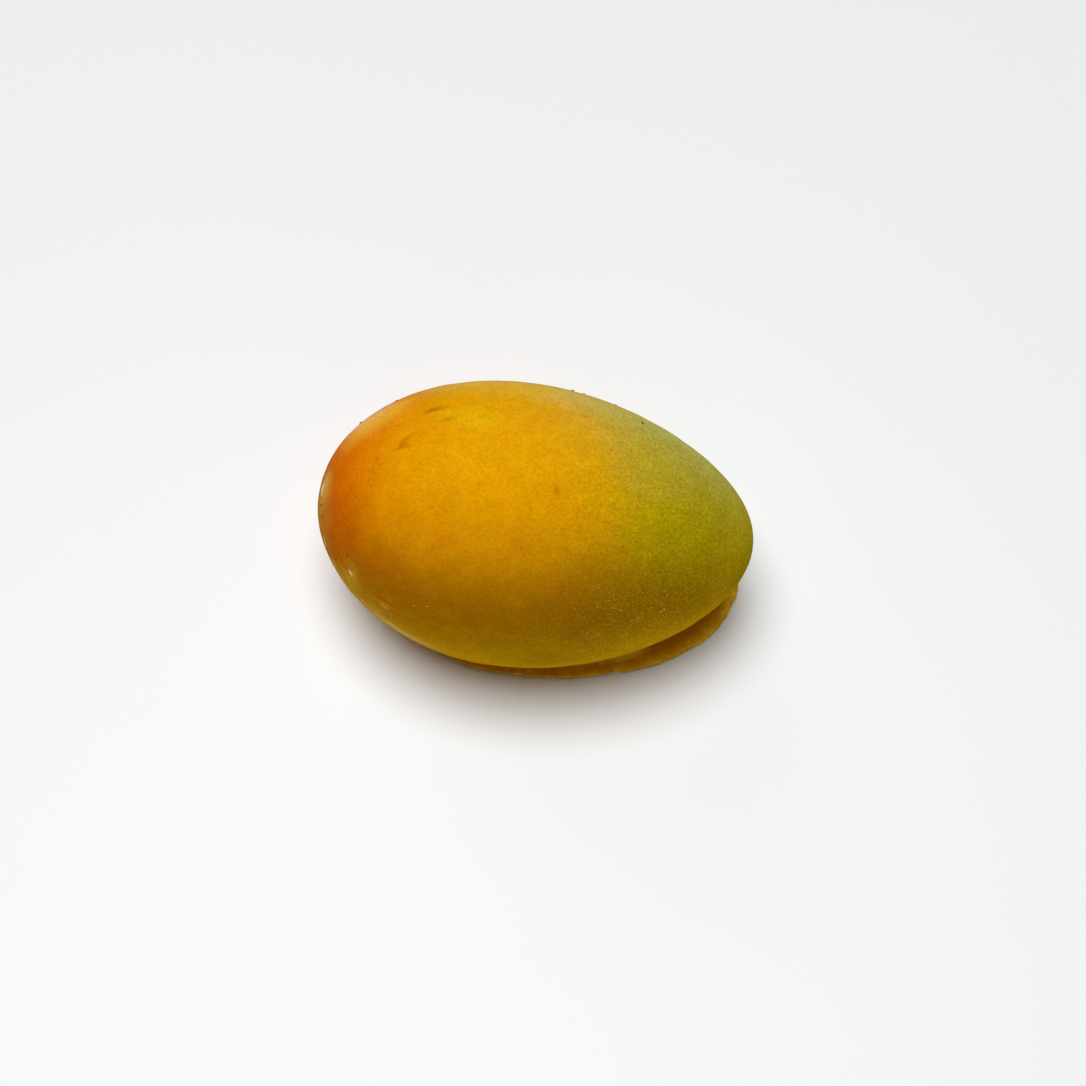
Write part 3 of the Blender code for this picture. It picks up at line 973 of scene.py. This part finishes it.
# Painted glints: pale pepper specks stand for light caught by fine droplets low at the front.
pepper_glints = math_node(tree, "MULTIPLY", grain.outputs["Pepper Glints"],
                     math_node(tree, "MULTIPLY", read(tree, "pepper"), 0.5))
colour = mix_colour(tree, pepper_glints, colour, LIGHT_SPECK_AND_GLINT)
lighter = ramp_value(tree, grain.outputs["Grain"], 0.35, 0.65, -1.0, 1.0)
contrast = math_node(tree, "MULTIPLY_ADD", read(tree, "grit"), 0.1, 0.07)
tone = math_node(tree, "MULTIPLY_ADD", lighter, contrast, 1.0)
toned = tree.nodes.new("ShaderNodeHueSaturation")
tree.links.new(math_node(tree, "MULTIPLY", tone, mottle), toned.inputs["Value"])
tree.links.new(colour, toned.inputs["Color"])
tree.links.new(toned.outputs[0], shader.inputs["Base Color"])
tree.links.new(ramp_value(tree, read(tree, "shine"), 0.2, 0.7, 0.0, 0.6),
               shader.inputs["Coat Weight"])
shader.inputs["Coat Roughness"].default_value = 0.15
bump = tree.nodes.new("ShaderNodeBump")
bump.inputs["Strength"].default_value = 0.35
bump.inputs["Distance"].default_value = 0.00012
tree.links.new(grain.outputs["Grain"], bump.inputs["Height"])
tree.links.new(bump.outputs["Normal"], shader.inputs["Normal"])
shader.inputs["Sheen Weight"].default_value = 0.01
shader.inputs["Sheen Roughness"].default_value = 0.4
shader.inputs["Sheen Tint"].default_value = (1.0, 0.85, 0.6, 1.0)
velvet_body.data.materials.append(velvet)
print("velvet_coat:", len(PASSES), "passes over gold")

# %% [markdown]
# The foot's finish
#
# The coating that ran down is smoother than the spray, because it set as a liquid. It is an
# ochre, with painted shade that turns it browner inwards under the body, and painted light that
# makes it lighter where the web climbs to the body. One noise mixes its two tones, roughens it
# a little unevenly and gives it its low bumps.

# %% Foot material
OCHRE_DEEP, OCHRE_PALE = (0.8, 0.38, 0.0), (1.0, 0.64, 0.02)
OCHRE_INNER_PAINTED_SHADE, OCHRE_WEB_PAINTED_LIGHT = (0.88, 0.36, 0.0), (0.95, 0.52, 0.0)

set_coat, tree, shader, where = new_finish("set_coating", 0.42, 0.08)
streaks = noise(tree, where, 420.0, 4.0, 0.65)
colour = mix_colour(tree, ramp_value(tree, streaks, 0.35, 0.7), OCHRE_DEEP, OCHRE_PALE)
# Painted shade: browner inwards, under the body's overhang.
colour = mix_colour(tree, math_node(tree, "MULTIPLY", read(tree, "inward"), 0.85), colour,
                    OCHRE_INNER_PAINTED_SHADE)
# Painted light: the web is painted lighter where it climbs out of the shade.
colour = mix_colour(tree, read(tree, "web"), colour, OCHRE_WEB_PAINTED_LIGHT)
tree.links.new(colour, shader.inputs["Base Color"])
bump = tree.nodes.new("ShaderNodeBump")
bump.inputs["Strength"].default_value = 0.3
bump.inputs["Distance"].default_value = 0.00015
tree.links.new(streaks, bump.inputs["Height"])
tree.links.new(bump.outputs["Normal"], shader.inputs["Normal"])
rough = ramp_value(tree, streaks, 0.3, 0.7, 0.36, 0.5)
tree.links.new(rough, shader.inputs["Roughness"])
foot_skin.data.materials.append(set_coat)
print("set_coating: ochre, browner inwards")

# %% [markdown]
# The droplets' finish
#
# A dried droplet is denser and a little smoother than the spray around it. Most are pale
# yellow, a pale that is partly a painted glint of light, and a few at the upper edge are nearly
# black, so each bead has its own tint as an attribute, and a noise makes some of them browner.

# %% Bead material
BEAD_DARK, BEAD_PALE_GLINT, BEAD_BROWN = (0.08, 0.045, 0.0), (0.85, 0.58, 0.06), (0.5, 0.3, 0.02)

bead_finish, tree, shader, where = new_finish("dried_droplets", 0.5, 0.15)
colour = mix_colour(tree, read(tree, "tint"), BEAD_DARK, BEAD_PALE_GLINT)
colour = mix_colour(tree, ramp_value(tree, noise(tree, where, 900.0), 0.4, 0.6, 0.0, 0.25),
                    colour, BEAD_BROWN)
tree.links.new(colour, shader.inputs["Base Color"])
spray_beads.data.materials.append(bead_finish)
print("dried_droplets on", len(bead_places), "beads")

# %% [markdown]
# Joining the frame
#
# The skins stand for the imported solids, and every piece rides on the one rigid body.

# %% Rides and replaced solids
for piece, slot in ((velvet_body, "sprayed_coating"), (foot_skin, "set_coating"),
                    (spray_beads, "sprayed_coating")):
    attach(piece, "root")
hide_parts("mango_body")
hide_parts("coating_foot")
print("three pieces ride on root")

# %% [markdown]
# Sizes at the end
#
# The dressed part must not be larger than the imported one, so the skins are held inside the
# imported box, and that box is printed.

# %% Sizes at the end
bpy.context.view_layer.update()
print("cad box", [[round(1000 * float(v), 2) for v in corner] for corner in cad_box])
